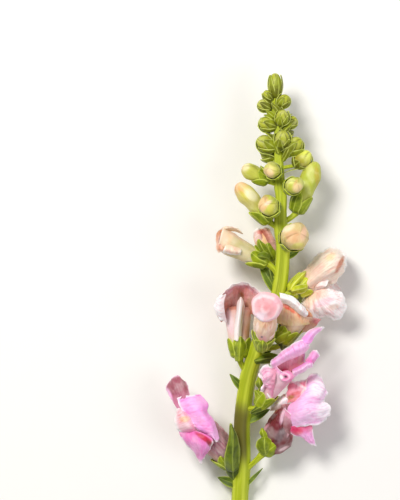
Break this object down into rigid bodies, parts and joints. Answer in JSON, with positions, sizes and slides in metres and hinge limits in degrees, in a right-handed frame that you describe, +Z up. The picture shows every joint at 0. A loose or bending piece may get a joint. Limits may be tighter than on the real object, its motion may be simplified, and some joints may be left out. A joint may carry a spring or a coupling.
{
  "type": "cut snapdragon flower stem",
  "caption": "Cut snapdragon stem lying on its side, with pink two-lipped flowers, cream buds and green buds towards the tip.",
  "frame": {"origin": "middle of the footprint, on the surface the stem lies on", "axes": "+Y along the stem from its cut end to its tip, +Z up from the surface, +X to the right seen from above"},
  "size_m": [0.0776, 0.2042, 0.0444],
  "materials": {
    "green_stem": "soft sheen",
    "pink_petal": "satin",
    "cream_bud": "satin"
  },
  "bodies": {
    "root": {"stem": "green_stem", "flower_right_upper": "pink_petal", "flower_left_upper": "pink_petal", "flower_front_left": "pink_petal", "flower_front_right": "pink_petal", "flower_right_middle": "pink_petal", "flower_right_lower": "pink_petal", "flower_left_lower": "pink_petal", "bud_opening_left": "pink_petal", "bud_left_first": "cream_bud", "bud_front_first": "cream_bud", "bud_front_second": "cream_bud", "bud_right_first": "cream_bud", "bud_left_second": "cream_bud", "bud_front_third": "cream_bud", "bud_front_fourth": "cream_bud", "bud_back_left": "cream_bud"}
  },
  "joints": []
}
